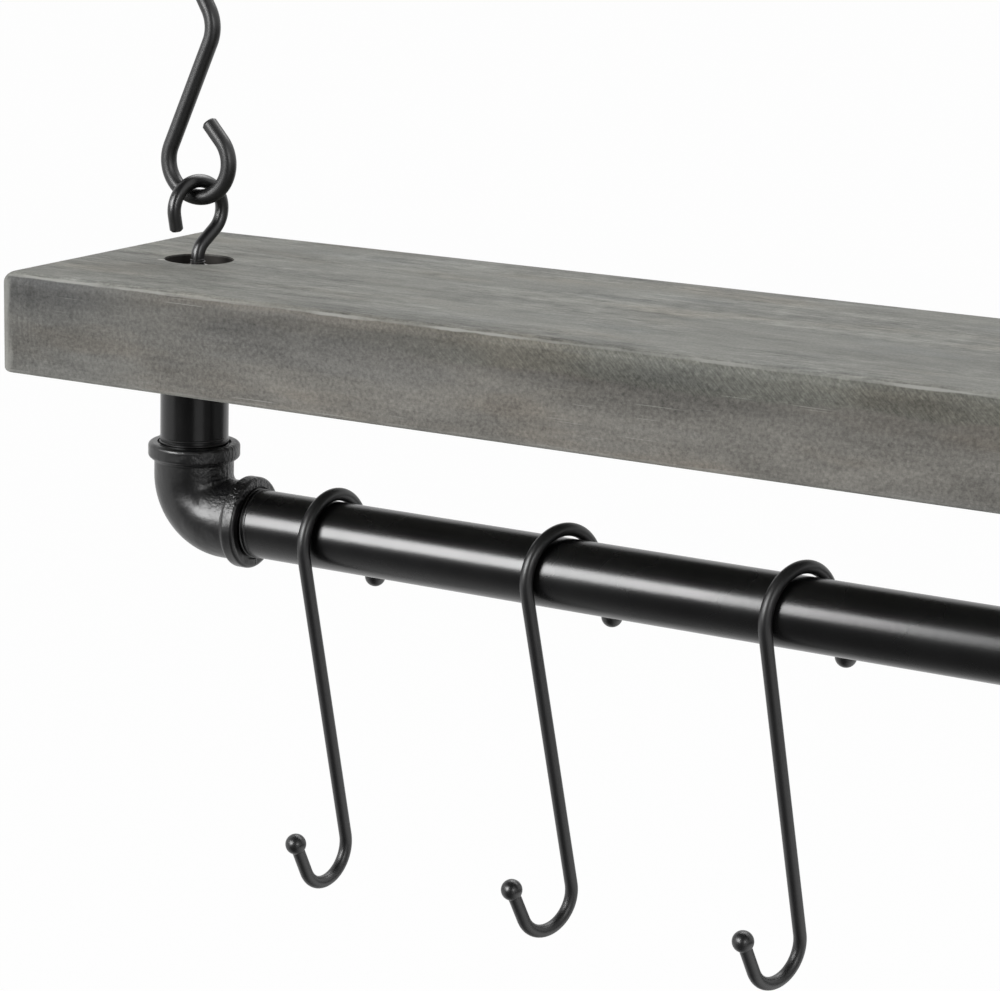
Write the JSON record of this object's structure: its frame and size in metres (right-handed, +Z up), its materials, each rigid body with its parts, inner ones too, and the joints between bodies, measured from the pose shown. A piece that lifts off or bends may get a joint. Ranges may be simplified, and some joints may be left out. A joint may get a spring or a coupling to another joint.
{
  "type": "hanging pot rack",
  "caption": "Hanging pot rack: a thick washed-wood shelf board on hook bolts and S-hooks, with an iron pipe rail on elbows below it and sliding wire pan hooks.",
  "frame": {"origin": "centre of the board's top face", "axes": "+X to the right along the board and the rail, +Y to the back, +Z up out of the board's top"},
  "size_m": [0.9144, 0.1396, 0.3615],
  "materials": {
    "washed_wood": "grey-washed, sanded, matte with lengthwise streaks",
    "black_pipe": "satin black coating on steel pipe",
    "cast_fitting": "black-coated malleable casting, slightly pebbled",
    "black_wire": "satin black coating on steel wire",
    "zinc": "bright zinc plating"
  },
  "bodies": {
    "rack": {"shelf_board": "washed_wood", "left_nipple": "black_pipe", "right_nipple": "black_pipe", "left_elbow": "cast_fitting", "right_elbow": "cast_fitting", "rail_pipe": "black_pipe", "left_hook_bolt": "black_wire", "right_hook_bolt": "black_wire", "clamp_nuts": "zinc", "clamp_washers": "zinc", "nipple_plugs": "zinc"},
    "left_s_hook": {"left_s_hook": "black_wire"},
    "right_s_hook": {"right_s_hook": "black_wire"},
    "pan_hook_1": {"pan_hook_1": "black_wire", "pan_hook_1_balls": "black_wire"},
    "pan_hook_2": {"pan_hook_2": "black_wire", "pan_hook_2_balls": "black_wire"},
    "pan_hook_3": {"pan_hook_3": "black_wire", "pan_hook_3_balls": "black_wire"},
    "pan_hook_4": {"pan_hook_4": "black_wire", "pan_hook_4_balls": "black_wire"},
    "pan_hook_5": {"pan_hook_5": "black_wire", "pan_hook_5_balls": "black_wire"},
    "pan_hook_6": {"pan_hook_6": "black_wire", "pan_hook_6_balls": "black_wire"},
    "pan_hook_7": {"pan_hook_7": "black_wire", "pan_hook_7_balls": "black_wire"},
    "pan_hook_8": {"pan_hook_8": "black_wire", "pan_hook_8_balls": "black_wire"}
  },
  "joints": [
    {"name": "left_s_hook_swing", "type": "hinge", "parent": "rack", "child": "left_s_hook", "pos_m": [-0.4147, 0, 0.0302], "axis": [0, 1, 0], "range_deg": [-30, 30]},
    {"name": "right_s_hook_swing", "type": "hinge", "parent": "rack", "child": "right_s_hook", "pos_m": [0.4147, 0, 0.0302], "axis": [0, 1, 0], "range_deg": [-30, 30]},
    {"name": "pan_hook_1_slide", "type": "slide", "parent": "rack", "child": "pan_hook_1", "axis": [1, 0, 0], "range_m": [-0.025, 0.03]},
    {"name": "pan_hook_2_slide", "type": "slide", "parent": "rack", "child": "pan_hook_2", "axis": [1, 0, 0], "range_m": [-0.03, 0.03]},
    {"name": "pan_hook_3_slide", "type": "slide", "parent": "rack", "child": "pan_hook_3", "axis": [1, 0, 0], "range_m": [-0.03, 0.03]},
    {"name": "pan_hook_4_slide", "type": "slide", "parent": "rack", "child": "pan_hook_4", "axis": [1, 0, 0], "range_m": [-0.03, 0.03]},
    {"name": "pan_hook_5_slide", "type": "slide", "parent": "rack", "child": "pan_hook_5", "axis": [1, 0, 0], "range_m": [-0.03, 0.03]},
    {"name": "pan_hook_6_slide", "type": "slide", "parent": "rack", "child": "pan_hook_6", "axis": [1, 0, 0], "range_m": [-0.03, 0.03]},
    {"name": "pan_hook_7_slide", "type": "slide", "parent": "rack", "child": "pan_hook_7", "axis": [1, 0, 0], "range_m": [-0.03, 0.03]},
    {"name": "pan_hook_8_slide", "type": "slide", "parent": "rack", "child": "pan_hook_8", "axis": [1, 0, 0], "range_m": [-0.03, 0.025]}
  ]
}
